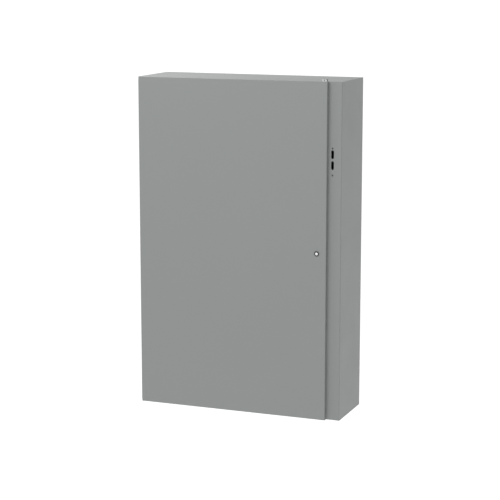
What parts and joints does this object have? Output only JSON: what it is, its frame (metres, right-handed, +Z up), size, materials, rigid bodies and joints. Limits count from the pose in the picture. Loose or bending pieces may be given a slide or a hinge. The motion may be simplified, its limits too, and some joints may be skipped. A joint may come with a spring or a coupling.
{
  "type": "automatic transfer switch",
  "caption": "Wall-mounted automatic transfer switch: grey sheet-steel enclosure with a hinged, three-point latched door over a motor-driven double-throw switch and its controls.",
  "frame": {"origin": "middle of the back face, where it meets the wall, at the centre of the four wall holes", "axes": "+X to the right seen from the front, +Y into the wall (the door faces -Y), +Z up"},
  "size_m": [0.9786, 0.3206, 1.534],
  "materials": {
    "grey_paint": "satin grey polyester powder coat",
    "white_paint": "gloss white powder coat",
    "zinc_steel": "clear zinc plate",
    "bright_latch": "polished nickel chrome",
    "black_moulding": "fine moulded texture",
    "seal_rubber": "foamed-in-place seal with a skin",
    "grey_moulding": "fine moulded texture",
    "gear_casting": "die cast",
    "red_moulding": "glass-filled polyester moulding",
    "copper": "bare copper bar",
    "bronze": "sintered bronze",
    "lug_aluminium": "tin-plated extrusion",
    "chute_board": "moulded arc-resistant board",
    "motor_black": "baked enamel",
    "gear_steel": "oiled machined steel",
    "indicator_white": "moulded",
    "display_dark": "clear window over a dark display",
    "green_button": "moulded",
    "grey_button": "moulded",
    "red_button": "moulded",
    "core_steel": "varnished laminations",
    "coil_tape": "varnished winding tape",
    "toggle_white": "moulded",
    "relay_clear": "clear moulded cover over a pale body",
    "terminal_grey": "moulded",
    "duct_grey": "extruded",
    "harness_sleeve": "braided sleeve"
  },
  "bodies": {
    "enclosure": {"body_shell": "grey_paint", "body_hinge_leaf": "zinc_steel", "hinge_pin": "zinc_steel", "sub_panel": "white_paint", "panel_fasteners": "zinc_steel", "switch_mounting_plate": "zinc_steel", "switch_base": "red_moulding", "side_plates": "zinc_steel", "shaft_bushes": "bronze", "normal_contacts": "copper", "emergency_contacts": "copper", "load_contacts": "copper", "arc_chutes": "chute_board", "arc_plates": "zinc_steel", "pole_barriers": "black_moulding", "cable_lugs": "lug_aluminium", "lug_screws": "zinc_steel", "gearbox": "gear_casting", "drive_motor": "motor_black", "auxiliary_switches": "black_moulding", "controller_case": "grey_moulding", "display_window": "display_dark", "transformer_core": "core_steel", "transformer_coil": "coil_tape", "control_breaker": "black_moulding", "din_rails": "zinc_steel", "relays": "relay_clear", "terminal_blocks": "terminal_grey", "wiring_duct": "duct_grey", "neutral_bar": "copper", "neutral_insulators": "red_moulding", "ground_bar": "copper", "control_harness": "harness_sleeve", "manual_handle": "red_moulding", "handle_clips": "black_moulding"},
    "door": {"door_panel": "grey_paint", "door_hinge_leaf": "zinc_steel", "door_gasket": "seal_rubber", "door_stiffeners": "grey_paint", "data_pocket": "grey_moulding", "latch_housing": "black_moulding", "latch_nut": "zinc_steel", "rod_guides": "black_moulding", "padlock_tab": "zinc_steel"},
    "latch": {"latch_insert": "bright_latch", "latch_pinion": "zinc_steel", "latch_cam": "zinc_steel"},
    "upper_lock_rod": {"upper_rod": "zinc_steel"},
    "lower_lock_rod": {"lower_rod": "zinc_steel"},
    "transfer_mechanism": {"transfer_shaft": "zinc_steel", "insulating_hubs": "black_moulding", "moving_contacts": "copper", "sector_gear": "gear_steel", "position_indicator": "indicator_white"},
    "motor_pinion": {"drive_pinion": "gear_steel"},
    "test_key": {"test_button": "green_button"},
    "menu_key": {"menu_button": "grey_button"},
    "reset_key": {"reset_button": "red_button"},
    "mode_selector": {"selector_knob": "black_moulding"},
    "breaker_lever": {"breaker_toggle": "toggle_white"}
  },
  "joints": [
    {"name": "door_hinge", "type": "hinge", "parent": "enclosure", "child": "door", "pos_m": [-0.4896, -0.296, 0], "axis": [0, 0, -1], "range_deg": [0, 150]},
    {"name": "latch_turn", "type": "hinge", "parent": "door", "child": "latch", "pos_m": [0.3785, -0.3, 0], "axis": [0, 1, 0], "range_deg": [0, 90]},
    {"name": "upper_rod_slide", "type": "slide", "parent": "door", "child": "upper_lock_rod", "axis": [0, 0, 1], "range_m": [0, 0.01767]},
    {"name": "lower_rod_slide", "type": "slide", "parent": "door", "child": "lower_lock_rod", "axis": [0, 0, -1], "range_m": [0, 0.0178]},
    {"name": "transfer_turn", "type": "hinge", "parent": "enclosure", "child": "transfer_mechanism", "pos_m": [0.08, -0.1, 0], "axis": [1, 0, 0], "range_deg": [-22, 22]},
    {"name": "pinion_turn", "type": "hinge", "parent": "enclosure", "child": "motor_pinion", "pos_m": [0.25, -0.1, 0.0842], "axis": [1, 0, 0], "range_deg": [-55.5, 55.5]},
    {"name": "test_press", "type": "slide", "parent": "enclosure", "child": "test_key", "axis": [0, 1, 0], "range_m": [0, 0.0015], "stiffness_N_per_m": 400},
    {"name": "menu_press", "type": "slide", "parent": "enclosure", "child": "menu_key", "axis": [0, 1, 0], "range_m": [0, 0.0015], "stiffness_N_per_m": 400},
    {"name": "reset_press", "type": "slide", "parent": "enclosure", "child": "reset_key", "axis": [0, 1, 0], "range_m": [0, 0.0015], "stiffness_N_per_m": 400},
    {"name": "selector_turn", "type": "hinge", "parent": "enclosure", "child": "mode_selector", "pos_m": [-0.215, -0.09, 0.345], "axis": [0, 1, 0], "range_deg": [-45, 45]},
    {"name": "breaker_throw", "type": "hinge", "parent": "enclosure", "child": "breaker_lever", "pos_m": [-0.357, -0.09, 0.2], "axis": [1, 0, 0], "range_deg": [-20, 20]}
  ],
  "couplings": [
    {"joint": "latch_turn", "follows": "upper_rod_slide", "rad_per_m": 88.889},
    {"joint": "lower_rod_slide", "follows": "upper_rod_slide", "ratio": 1},
    {"joint": "pinion_turn", "follows": "transfer_turn", "ratio": -2.5}
  ]
}
